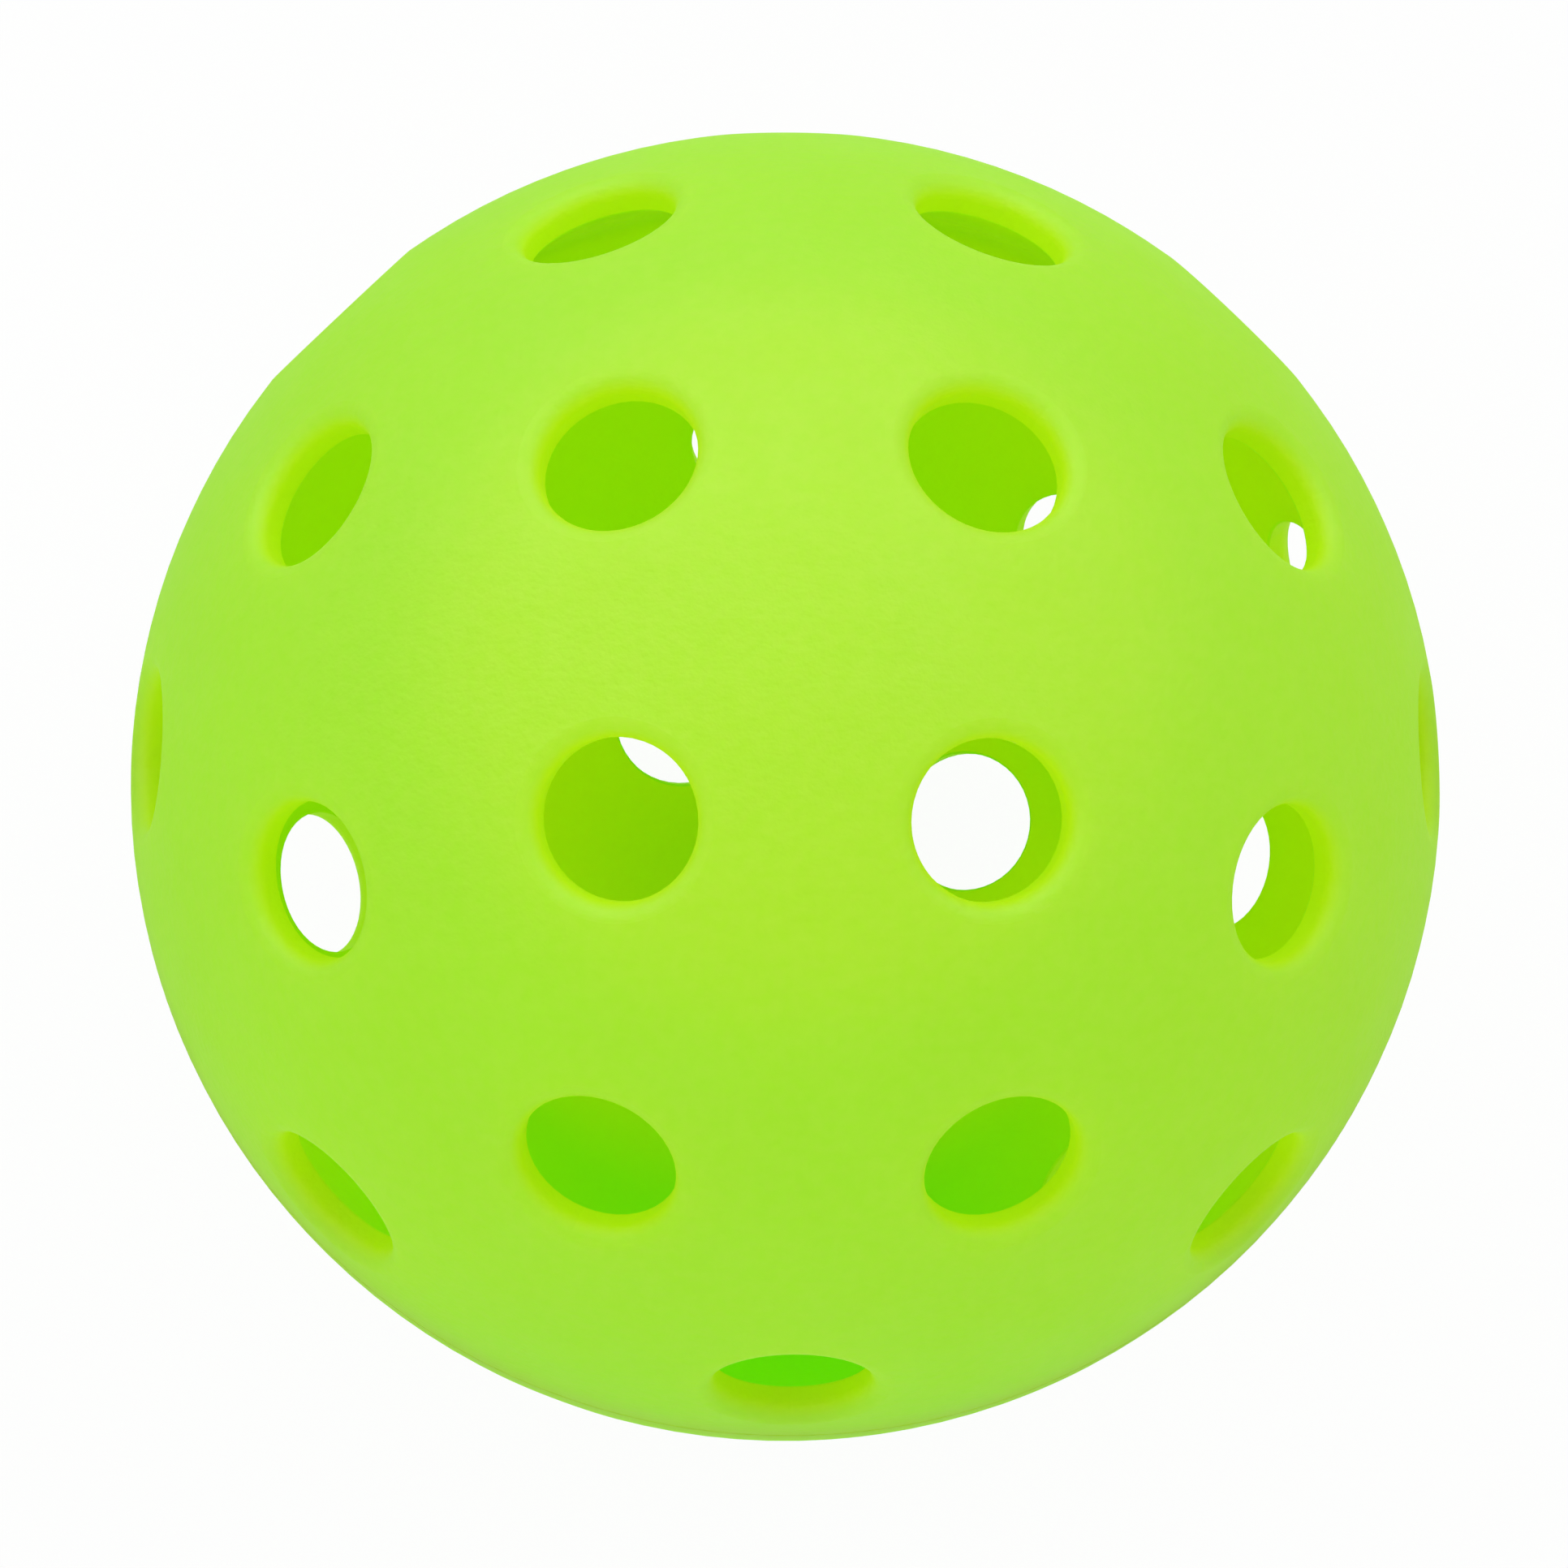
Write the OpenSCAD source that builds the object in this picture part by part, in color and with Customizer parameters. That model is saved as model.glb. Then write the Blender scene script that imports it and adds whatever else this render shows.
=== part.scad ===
/* Perforated ball for a paddle game: two moulded half shells, joined by a tongue and groove
   at the equator and welded there. The origin is the ball's centre, +Z runs through the pole of the
   upper shell, and the seam lies in the XY plane. Sizes are in millimetres and degrees. */

/* [Ball] */
// Outside diameter of the ball
ball_d = 74; // [66:0.5:90]
// Wall thickness of both shells
wall = 2; // [1.6:0.1:3]

/* [Holes] */
// Diameter of every air hole
hole_d = 8.5; // [5:0.1:10]
// Rounding round each hole's outer mouth
mouth_r = 1; // [0.3:0.05:1.4]
// Chamfer on each hole's inner edge
edge_break = 0.12; // [0.05:0.01:0.3]

/* [Hole rings] */
// Holes in the ring next to the pole
pole_ring_n = 4; // [3:1:5]
// Angle between the pole and that ring's holes
pole_ring_angle = 22.2; // [18:0.1:26]
// Holes in the middle ring
middle_ring_n = 8; // [6:1:10]
// Angle between the pole and the middle ring's holes
middle_ring_angle = 50.4; // [46:0.1:54]
// Holes in the ring next to the seam
seam_ring_n = 8; // [6:1:12]
// Angle between the pole and the seam ring's holes
seam_ring_angle = 76.4; // [72:0.1:78]
// Turn of the lower shell about the pole, against the upper one
half_turn = 20.9; // [0:0.1:45]

/* [Seam] */
// Height of the upper shell's tongue below the seam
tongue_h = 0.7; // [0.4:0.1:1.5]
// Thickness of the tongue, which runs along the middle of the wall
tongue_t = 0.7; // [0.5:0.05:1]
// Clearance between each side of the tongue and the lower shell's groove
groove_clearance = 0.03; // [0.02:0.01:0.1]
// Height of the weld bead between the tongue's end and the groove's floor
bead_h = 0.2; // [0.1:0.05:0.5]
// Chamfer on both outer corners at the seam
seam_chamfer = 0.15; // [0.05:0.05:0.3]

/* [Hidden] */
$fn = 96;

// Overlap that carries a cut clear of the face it leaves
cut_over = 1;
// How far the mouth rounding's circle reaches past the outer face, so that the two faces cross
cross_over = 0.002;

ball_r = ball_d / 2;
inner_r = ball_r - wall;
hole_r = hole_d / 2;
wall_mid = ball_r - wall / 2;
groove_t = tongue_t + 2 * groove_clearance;
groove_depth = tongue_h + bead_h;

// Centre of the mouth rounding in the plane through a hole's axis, and the radius where it meets the outer face
mouth_x = hole_r + mouth_r;
mouth_reach = ball_r - mouth_r + cross_over;
mouth_z = sqrt(mouth_reach * mouth_reach - mouth_x * mouth_x);
mouth_rim = mouth_x * ball_r / mouth_reach;

// Radius of the inner chamfer where it meets the inner face, and its top end in the throat
edge_x = hole_r + edge_break;
edge_z = sqrt(inner_r * inner_r - edge_x * edge_x) + edge_break;

// Each ring: number of holes, angle from the pole, azimuth of its first hole
hole_rings = [
    [pole_ring_n, pole_ring_angle, 180 / pole_ring_n],
    [middle_ring_n, middle_ring_angle, 180 / middle_ring_n],
    [seam_ring_n, seam_ring_angle, 0]
];

shell_colour = "#a9e63f";
bead_colour = "#8fdc1c";

// Half section of one hole: a throat with a chamfered inner edge, flared by a quarter round at its mouth
module hole_section() {
    high = ball_r + cut_over;
    flare = edge_break + cut_over;
    difference() {
        polygon([
            [0, edge_z - flare],
            [hole_r + flare, edge_z - flare],
            [hole_r, edge_z],
            [hole_r, mouth_z],
            [mouth_rim, mouth_z],
            [mouth_rim, high],
            [0, high]
        ]);
        translate([mouth_x, mouth_z]) circle(mouth_r);
    }
}

// All the holes of one half, which stands with its pole up
module half_holes() {
    for (ring = hole_rings)
        for (k = [0 : ring[0] - 1])
            rotate([0, ring[1], ring[2] + k * 360 / ring[0]])
                rotate_extrude($fn = 48) hole_section();
}

// Chamfer cut round a rim that lies in the seam plane, for a half that stands with its pole up
module rim_chamfer() {
    rotate_extrude()
        polygon([
            [ball_r - seam_chamfer, 0],
            [ball_r + cut_over, -cut_over],
            [ball_r + cut_over, seam_chamfer + cut_over]
        ]);
}

// Solid half ball with its flat face in the seam plane
module half_ball() {
    intersection() {
        sphere(ball_r);
        cylinder(r = ball_r + cut_over, h = ball_r + cut_over);
    }
}

// Half of the ball as both moulds make it: a shell with its holes and its chamfered rim, pole up
module half_shell() {
    difference() {
        half_ball();
        sphere(inner_r);
        half_holes();
        rim_chamfer();
    }
}

// Ring of rectangular section along the middle of the wall
module wall_ring(thick, low, high) {
    rotate_extrude()
        translate([wall_mid - thick / 2, low]) square([thick, high - low]);
}

// Half with the tongue, which is rooted in the wall and stands below the seam
module upper_shell() {
    color(shell_colour) {
        half_shell();
        wall_ring(tongue_t, -tongue_h, wall / 2);
    }
}

// Half with the groove: the same shell turned over and turned about the pole
module lower_shell() {
    color(shell_colour)
        rotate([180, 0, -half_turn])
            difference() {
                half_shell();
                wall_ring(groove_t, -cut_over, groove_depth);
            }
}

// Ring of remelted plastic that fills the groove between its floor and the tongue's end
module weld_bead() {
    color(bead_colour) wall_ring(groove_t, -groove_depth, -tongue_h);
}

upper_shell();
lower_shell();
weld_bead();
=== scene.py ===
import math

import bpy
from mathutils import Matrix, Vector


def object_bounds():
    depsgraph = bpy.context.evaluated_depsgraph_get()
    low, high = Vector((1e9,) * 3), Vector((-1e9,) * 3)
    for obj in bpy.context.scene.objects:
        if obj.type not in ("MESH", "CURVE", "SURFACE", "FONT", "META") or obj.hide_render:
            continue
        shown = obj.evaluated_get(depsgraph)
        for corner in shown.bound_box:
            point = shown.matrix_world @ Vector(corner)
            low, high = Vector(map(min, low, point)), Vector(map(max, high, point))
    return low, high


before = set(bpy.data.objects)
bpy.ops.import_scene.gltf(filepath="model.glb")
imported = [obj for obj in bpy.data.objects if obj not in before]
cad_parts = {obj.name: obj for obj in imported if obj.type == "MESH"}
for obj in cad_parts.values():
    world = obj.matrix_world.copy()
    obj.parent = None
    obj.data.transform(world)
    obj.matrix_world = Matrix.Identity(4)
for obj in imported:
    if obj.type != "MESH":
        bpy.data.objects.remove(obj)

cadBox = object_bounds()
ballRadius = (cadBox[1].x - cadBox[0].x) / 2
mmPerMetre = 1000

# a Mix node has sockets of one name for each kind of data, so those for colours go by number
mixShare = 0
mixBase = 6
mixTint = 7
mixResult = 2


def hexColour(text):
    channels = [int(text[i:i + 2], 16) / 255 for i in (1, 3, 5)]
    linear = [c / 12.92 if c <= 0.04045 else ((c + 0.055) / 1.055) ** 2.4 for c in channels]
    return (*linear, 1.0)


def metres(millimetres):
    return [size / mmPerMetre for size in millimetres]


def addNode(tree, kind, settings=None):
    # another node's output is linked, anything else is set
    node = tree.nodes.new(kind)
    for name, value in (settings or {}).items():
        if isinstance(value, bpy.types.NodeSocket):
            tree.links.new(value, node.inputs[name])
        elif isinstance(name, str) and hasattr(node, name):
            setattr(node, name, value)
        else:
            node.inputs[name].default_value = value
    return node


white = hexColour("#FFFFFF")

photoView = {
    "size": 1932,  # pixels a side
    "ballCentre": (967.7, 969.0),  # pixel where the ball's centre falls
    "ballRadius": 806.7,  # pixels, the ball's outline
    "distance": 9.748,  # camera to ball centre, in ball radii
    "tiltRight": 1.652,  # degrees the pole leans right of the line of sight
    "tiltUp": 13.584,  # degrees it leans up
    "spin": -0.145,  # degrees the ball is turned about its pole
    "sensor": 36,  # mm
    "nearest": 0.01,  # metres, what is closer isn't shown
}


def placeCamera():
    leanRight = math.sin(math.radians(photoView["tiltRight"]))
    leanUp = math.sin(math.radians(photoView["tiltUp"]))
    pole = Vector((leanRight, leanUp, 1)).normalized()
    right = Vector((0, 1, 0)).cross(pole).normalized()
    up = pole.cross(right)
    turn = math.radians(photoView["spin"])
    ballX = right * math.cos(turn) + up * math.sin(turn)
    ballY = up * math.cos(turn) - right * math.sin(turn)
    turnToBall = Matrix((ballX, ballY, pole))  # camera axes to the ball's own
    lens = bpy.data.cameras.new("camera")
    focal = photoView["ballRadius"] * math.sqrt(photoView["distance"] ** 2 - 1)  # pixels
    lens.sensor_width = photoView["sensor"]
    lens.lens = focal * photoView["sensor"] / photoView["size"]
    # shares of the frame, from its middle
    lens.shift_x = 0.5 - photoView["ballCentre"][0] / photoView["size"]
    lens.shift_y = photoView["ballCentre"][1] / photoView["size"] - 0.5
    lens.clip_start = photoView["nearest"]
    camera = bpy.data.objects.new("camera", lens)
    bpy.context.collection.objects.link(camera)
    stand = turnToBall.to_4x4()
    stand.translation = turnToBall @ Vector((0, 0, photoView["distance"] * ballRadius))
    camera.matrix_world = stand
    bpy.context.scene.camera = camera


placeCamera()
print("camera placed")

studio = {
    "tent": 0.575,  # light of the even white tent on the ball
    "backdrop": 1.0,  # what the camera sees of it, where 1 is white
    "bounces": 32,  # light goes round the hollow many times before it leaves
    "lamps": {
        # azimuth from +X and height in degrees, distance and size in metres, watts
        "rearBox": (90, 35, 0.9, 1.0, 1.6),
        "leftBox": (150, 42, 0.9, 0.9, 1.72),
        "rightBox": (30, 42, 0.9, 0.9, 1.78),
        "frontBox": (255, 20, 0.9, 1.0, 2.6),
        "sheenBox": (105, 42, 0.9, 1.4, 3.6),
    },
    "noGloss": ("frontBox",),  # lamps that the gloss doesn't show
    "onlyGloss": ("sheenBox",),  # and those that light nothing else
}


def addLooking(tree):
    # 1 for what the camera, a gloss or clear glass shows, 0 for light that a dull or sheer face scatters
    path = addNode(tree, "ShaderNodeLightPath").outputs
    seen = addNode(tree, "ShaderNodeMath", {
        "operation": "MAXIMUM",
        0: path["Is Camera Ray"],
        1: path["Is Glossy Ray"],
    }).outputs[0]
    clear = addNode(tree, "ShaderNodeMath", {
        "operation": "SUBTRACT",
        0: path["Is Transmission Ray"],
        1: path["Is Diffuse Ray"],
    }).outputs[0]
    return addNode(tree, "ShaderNodeMath", {"operation": "MAXIMUM", 0: seen, 1: clear}).outputs[0]


def pitchTent():
    scene = bpy.context.scene
    scene.view_settings.view_transform = "Standard"
    scene.cycles.diffuse_bounces = studio["bounces"]
    scene.cycles.transmission_bounces = studio["bounces"]
    scene.cycles.max_bounces = studio["bounces"] * 2  # both kinds together
    world = bpy.data.worlds.new("lightTent")
    scene.world = world
    world.use_nodes = True
    tree = world.node_tree
    tree.nodes.clear()
    looking = addLooking(tree)
    tent = addNode(tree, "ShaderNodeBackground", {
        "Color": white,
        "Strength": studio["tent"],
    }).outputs[0]
    backdrop = addNode(tree, "ShaderNodeBackground", {
        "Color": white,
        "Strength": studio["backdrop"],
    }).outputs[0]
    mix = addNode(tree, "ShaderNodeMixShader", {0: looking, 1: tent, 2: backdrop}).outputs[0]
    addNode(tree, "ShaderNodeOutputWorld", {"Surface": mix})


def hangLamps():
    for name, (azimuth, height, distance, size, watts) in studio["lamps"].items():
        lamp = bpy.data.lights.new(name, "AREA")
        lamp.shape = "DISK"
        lamp.size = size
        lamp.energy = watts
        holder = bpy.data.objects.new(name, lamp)
        bpy.context.collection.objects.link(holder)
        holder.visible_glossy = name not in studio["noGloss"]
        holder.visible_diffuse = name not in studio["onlyGloss"]
        holder.visible_transmission = name not in studio["onlyGloss"]
        turn = math.radians(azimuth)
        rise = math.radians(height)
        towards = Vector((math.cos(turn) * math.cos(rise), math.sin(turn) * math.cos(rise), math.sin(rise)))
        place = distance * towards
        holder.location = place
        holder.rotation_euler = (-place).to_track_quat("-Z", "Y").to_euler()  # it faces the ball


pitchTent()
hangLamps()
print("studio lit")

floorSet = {
    "half": 3.0,  # metres
    "paint": "#F2F2F2",
    "backdrop": 1.0,  # as bright as the tent behind it
    "glow": 0.95,  # share of that white which the camera sees without shade
}


def layFloor():
    half = floorSet["half"]
    level = cadBox[0].z
    corners = [(-half, -half, level), (half, -half, level), (half, half, level), (-half, half, level)]
    mesh = bpy.data.meshes.new("floor")
    mesh.from_pydata(corners, [], [(0, 1, 2, 3)])
    floor = bpy.data.objects.new("floor", mesh)
    bpy.context.collection.objects.link(floor)
    mesh.materials.append(mattPaint())


def mattPaint():
    # Matt white wall paint, rolled on: no gloss, and only a faint shadow shows on it
    material = bpy.data.materials.new("mattWhitePaint")
    material.use_nodes = True
    tree = material.node_tree
    tree.nodes.clear()
    looking = addLooking(tree)
    matt = addNode(tree, "ShaderNodeBsdfDiffuse", {"Color": hexColour(floorSet["paint"])}).outputs[0]
    backdrop = addNode(tree, "ShaderNodeEmission", {
        "Color": white,
        "Strength": floorSet["backdrop"],
    }).outputs[0]
    shown = addNode(tree, "ShaderNodeMixShader", {0: floorSet["glow"], 1: matt, 2: backdrop}).outputs[0]
    mix = addNode(tree, "ShaderNodeMixShader", {0: looking, 1: matt, 2: shown}).outputs[0]
    addNode(tree, "ShaderNodeOutputMaterial", {"Surface": mix})
    return material


layFloor()
print("floor laid")

shellPlastic = {
    "inside": "#B2F800",
    "throat": "#DCFF00",  # hole walls, paler and yellower than the outside: a painted glow where light leaves their cut edges
    "outside": "#BEF500",
    "wall": (35.0, 37.0),  # mm from the ball's centre, inner and outer face
    # where each colour lies in the wall, from 0 at its inner face to 1 at its outer one
    "depths": ((0.02, "inside"), (0.08, "throat"), (0.62, "throat"), (0.9, "outside")),
    "sheer": 0.51,  # share of the light that a face lets through
    "through": "#EBFE08",  # and its colour
    "joint": (35.925, 0.915, 1.2),  # mm, the fused tongue and groove: mean radius, half width, half height
    "jointThrough": "#FFFF20",  # its faces lie inside the wall and hold back no light
    "seamSheerLoss": 0.4,  # how much of the sheer share the inner face loses along the seam, under its painted light
    # patches of painted light and shade on the inner face, in mm where each starts and where it is full,
    # with the curve between, the colour that it sends back and the colour that it lets through
    "innerPlaces": {
        "rightSide": ((6.0, 30.0), "LINEAR", "#DEF800", None),  # yellower: painted light on the right side of the inside
        "poleLight": ((28.0, 31.5), "SMOOTHSTEP", "#F8FC00", "#F6FF08"),  # paler near the poles: painted light on the inside there
        "lowFront": ((20.0, 38.0), "LINEAR", "#52F800", "#A8FE08"),  # greener: painted shade on the low front of the inside, where little light falls
        "seamLight": ((2.4, 0.0), "SMOOTHSTEP", "#E6FF00", None),  # paler along the seam: painted light over the shade that the joint leaves there
    },
    "lowFrontSide": (0.0, -0.9, -0.44),  # where the low front points
    # noise patterns: mm wide and number of layers
    "patterns": {
        "speckle": (0.7, 3.0),  # pale flecks on the outer face's grain: painted glints, drawn wider than they are
        "flow": (9.0, 3.0),  # slow change of colour that the melt's flow leaves
        "grain": (0.45, 2.0),  # the mould's fine sparkle, drawn twice as wide as it is
        "polish": (4.0, 2.0),  # patches where the mould is worn smoother
    },
    # colour of the painted glints
    "speckleTint": "#E0F850",
    "speckleShare": 0.2,  # how far the painted glints go towards that tint
    "speckleSpan": (0.35, 0.65),  # noise values where the speckle starts and where it is full
    "flowShare": 0.06,  # how much the flow darkens
    "grainHeight": 0.065,  # mm
    "polishSpan": (0.3, 0.7),  # noise values of the smoothest and the roughest patches
    "roughness": (0.56, 0.64),  # of those patches
    "ior": 1.53,
    "gloss": (0.3, 1.0),  # inside and outside, twice the plain level, because the sheer part's mix halves it
    "glossDepth": (0.5, 0.88),  # where the outer face's gloss starts and where it is full
}


def mouldedPolyethylene():
    # Moulded polyethylene with a bright lime dye: a soft satin gloss over a fine grain, and a wall that lets
    # light through, so the hollow inside stays bright;
    # the holes' walls carry a painted yellow glow at their cut edges, and the inner face carries patches of
    # painted light and shade
    material = bpy.data.materials.new("mouldedPolyethylene")
    material.use_nodes = True
    tree = material.node_tree
    tree.nodes.clear()

    # where a spot is: how deep in the wall, how far from the seam, how far to the low front
    position = addNode(tree, "ShaderNodeTexCoord").outputs["Object"]
    axes = addNode(tree, "ShaderNodeSeparateXYZ", {0: position}).outputs
    radius = addNode(tree, "ShaderNodeVectorMath", {"operation": "LENGTH", 0: position}).outputs["Value"]
    innerFace, outerFace = metres(shellPlastic["wall"])
    depth = addNode(tree, "ShaderNodeMapRange", {
        "Value": radius,
        "From Min": innerFace,
        "From Max": outerFace,
    }).outputs[0]
    offSeam = addNode(tree, "ShaderNodeMath", {"operation": "ABSOLUTE", 0: axes["Z"]}).outputs[0]
    toLowFront = addNode(tree, "ShaderNodeVectorMath", {
        "operation": "DOT_PRODUCT",
        0: position,
        1: shellPlastic["lowFrontSide"],
    }).outputs["Value"]

    # 1 on the joint's own faces, and 1 on the inner face
    jointRadius, halfWidth, halfHeight = metres(shellPlastic["joint"])
    inWall = addNode(tree, "ShaderNodeMath", {
        "operation": "COMPARE",
        0: radius,
        1: jointRadius,
        2: halfWidth,
    }).outputs[0]
    nearSeam = addNode(tree, "ShaderNodeMath", {
        "operation": "COMPARE",
        0: axes["Z"],
        1: 0.0,
        2: halfHeight,
    }).outputs[0]
    onJoint = addNode(tree, "ShaderNodeMath", {"operation": "MULTIPLY", 0: inWall, 1: nearSeam}).outputs[0]
    onInside = addNode(tree, "ShaderNodeMath", {
        "operation": "LESS_THAN",
        0: radius,
        1: jointRadius - halfWidth,
    }).outputs[0]

    noise = {}
    for name, (width, layers) in shellPlastic["patterns"].items():
        noise[name] = addNode(tree, "ShaderNodeTexNoise", {
            "Vector": position,
            "Scale": mmPerMetre / width,
            "Detail": layers,
        }).outputs["Fac"]

    # colour by depth, with the hole walls' painted glow, and the speckle's painted glints over it
    byDepth = addNode(tree, "ShaderNodeValToRGB", {0: depth})
    ramp = byDepth.color_ramp
    for stop, name in shellPlastic["depths"]:
        spot = ramp.elements.new(stop)
        spot.color = hexColour(shellPlastic[name])
    ramp.elements.remove(ramp.elements[0])  # the ramp's own two stops
    ramp.elements.remove(ramp.elements[-1])
    speckleStart, speckleFull = shellPlastic["speckleSpan"]
    tips = addNode(tree, "ShaderNodeMapRange", {
        "Value": noise["speckle"],
        "From Min": speckleStart,
        "From Max": speckleFull,
        "To Max": shellPlastic["speckleShare"],
    }).outputs[0]
    outerTips = addNode(tree, "ShaderNodeMath", {"operation": "MULTIPLY", 0: tips, 1: depth}).outputs[0]
    sentBack = addNode(tree, "ShaderNodeMix", {
        "data_type": "RGBA",
        mixShare: outerTips,
        mixBase: byDepth.outputs["Color"],
        mixTint: hexColour(shellPlastic["speckleTint"]),
    }).outputs[mixResult]
    letThrough = addNode(tree, "ShaderNodeMix", {
        "data_type": "RGBA",
        mixShare: onJoint,
        mixBase: hexColour(shellPlastic["through"]),
        mixTint: hexColour(shellPlastic["jointThrough"]),
    }).outputs[mixResult]

    # the inner face's patches of painted light and shade, each over the one before
    measures = {"rightSide": axes["X"], "poleLight": offSeam, "lowFront": toLowFront, "seamLight": offSeam}
    onPlace = {}
    for name, (span, curve, back, through) in shellPlastic["innerPlaces"].items():
        start, full = metres(span)
        rise = addNode(tree, "ShaderNodeMapRange", {
            "interpolation_type": curve,
            "Value": measures[name],
            "From Min": start,
            "From Max": full,
        }).outputs[0]
        onPlace[name] = addNode(tree, "ShaderNodeMath", {
            "operation": "MULTIPLY",
            0: onInside,
            1: rise,
        }).outputs[0]
        sentBack = addNode(tree, "ShaderNodeMix", {
            "data_type": "RGBA",
            mixShare: onPlace[name],
            mixBase: sentBack,
            mixTint: hexColour(back),
        }).outputs[mixResult]
        if through:
            letThrough = addNode(tree, "ShaderNodeMix", {
                "data_type": "RGBA",
                mixShare: onPlace[name],
                mixBase: letThrough,
                mixTint: hexColour(through),
            }).outputs[mixResult]
    colour = addNode(tree, "ShaderNodeMix", {
        "data_type": "RGBA",
        "blend_type": "MULTIPLY",
        mixShare: shellPlastic["flowShare"],
        mixBase: sentBack,
        mixTint: noise["flow"],
    }).outputs[mixResult]

    # grain, worn patches, and a gloss that is duller in the holes and inside
    sparkle = addNode(tree, "ShaderNodeBump", {
        "Height": noise["grain"],
        "Distance": shellPlastic["grainHeight"] / mmPerMetre,
    }).outputs[0]
    wornLow, wornHigh = shellPlastic["polishSpan"]
    smoothest, roughest = shellPlastic["roughness"]
    roughness = addNode(tree, "ShaderNodeMapRange", {
        "Value": noise["polish"],
        "From Min": wornLow,
        "From Max": wornHigh,
        "To Min": smoothest,
        "To Max": roughest,
    }).outputs[0]
    glossStart, glossFull = shellPlastic["glossDepth"]
    dull, glossy = shellPlastic["gloss"]
    gloss = addNode(tree, "ShaderNodeMapRange", {
        "Value": depth,
        "From Min": glossStart,
        "From Max": glossFull,
        "To Min": dull,
        "To Max": glossy,
    }).outputs[0]

    # what a face sends back and what it lets through
    surface = addNode(tree, "ShaderNodeBsdfPrincipled", {
        "Base Color": colour,
        "Roughness": roughness,
        "IOR": shellPlastic["ior"],
        "Specular IOR Level": gloss,
        "Normal": sparkle,
    }).outputs[0]
    sheer = addNode(tree, "ShaderNodeBsdfTranslucent", {"Color": letThrough}).outputs[0]
    clear = addNode(tree, "ShaderNodeMapRange", {
        "Value": onJoint,
        "To Min": shellPlastic["sheer"],
    }).outputs[0]
    share = addNode(tree, "ShaderNodeMath", {
        "operation": "MULTIPLY_ADD",
        0: onPlace["seamLight"],
        1: -shellPlastic["seamSheerLoss"],
        2: clear,
    }).outputs[0]
    wall = addNode(tree, "ShaderNodeMixShader", {0: share, 1: surface, 2: sheer}).outputs[0]
    addNode(tree, "ShaderNodeOutputMaterial", {"Surface": wall})
    return material


weldPlastic = {
    "colour": ("#B9EE20", "#C8F83C"),  # troughs and crests of the ripple: painted shade in the troughs and painted light on the crests
    "ripple": (1.2, 0.02),  # mm, width and height of the waves that the melt froze with
    "layers": 2.0,  # of noise in the ripple
    "roughness": 0.35,
    "ior": 1.53,
    "sheer": 0.9,  # share of the light that goes through
    "through": "#FFFF20",
}


def remeltedPolyethylene():
    # Polyethylene that the weld melted and that froze unpressed: clearer and smoother than the moulded wall
    material = bpy.data.materials.new("remeltedPolyethylene")
    material.use_nodes = True
    tree = material.node_tree
    tree.nodes.clear()
    rippleWidth, rippleHeight = weldPlastic["ripple"]
    position = addNode(tree, "ShaderNodeTexCoord").outputs["Object"]
    ripple = addNode(tree, "ShaderNodeTexNoise", {
        "Vector": position,
        "Scale": mmPerMetre / rippleWidth,
        "Detail": weldPlastic["layers"],
    }).outputs["Fac"]
    trough, crest = weldPlastic["colour"]
    colour = addNode(tree, "ShaderNodeMix", {
        "data_type": "RGBA",
        mixShare: ripple,
        mixBase: hexColour(trough),
        mixTint: hexColour(crest),
    }).outputs[mixResult]
    waves = addNode(tree, "ShaderNodeBump", {
        "Height": ripple,
        "Distance": rippleHeight / mmPerMetre,
    }).outputs[0]
    surface = addNode(tree, "ShaderNodeBsdfPrincipled", {
        "Base Color": colour,
        "Roughness": weldPlastic["roughness"],
        "IOR": weldPlastic["ior"],
        "Normal": waves,
    }).outputs[0]
    sheer = addNode(tree, "ShaderNodeBsdfTranslucent", {
        "Color": hexColour(weldPlastic["through"]),
    }).outputs[0]
    bead = addNode(tree, "ShaderNodeMixShader", {0: weldPlastic["sheer"], 1: surface, 2: sheer}).outputs[0]
    addNode(tree, "ShaderNodeOutputMaterial", {"Surface": bead})
    return material


def dress(name, material):
    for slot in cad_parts[name].material_slots:
        slot.material = material


plastic = mouldedPolyethylene()
dress("upper_shell", plastic)
dress("lower_shell", plastic)
print("shells finished")
dress("weld_bead", remeltedPolyethylene())
print("weld finished")
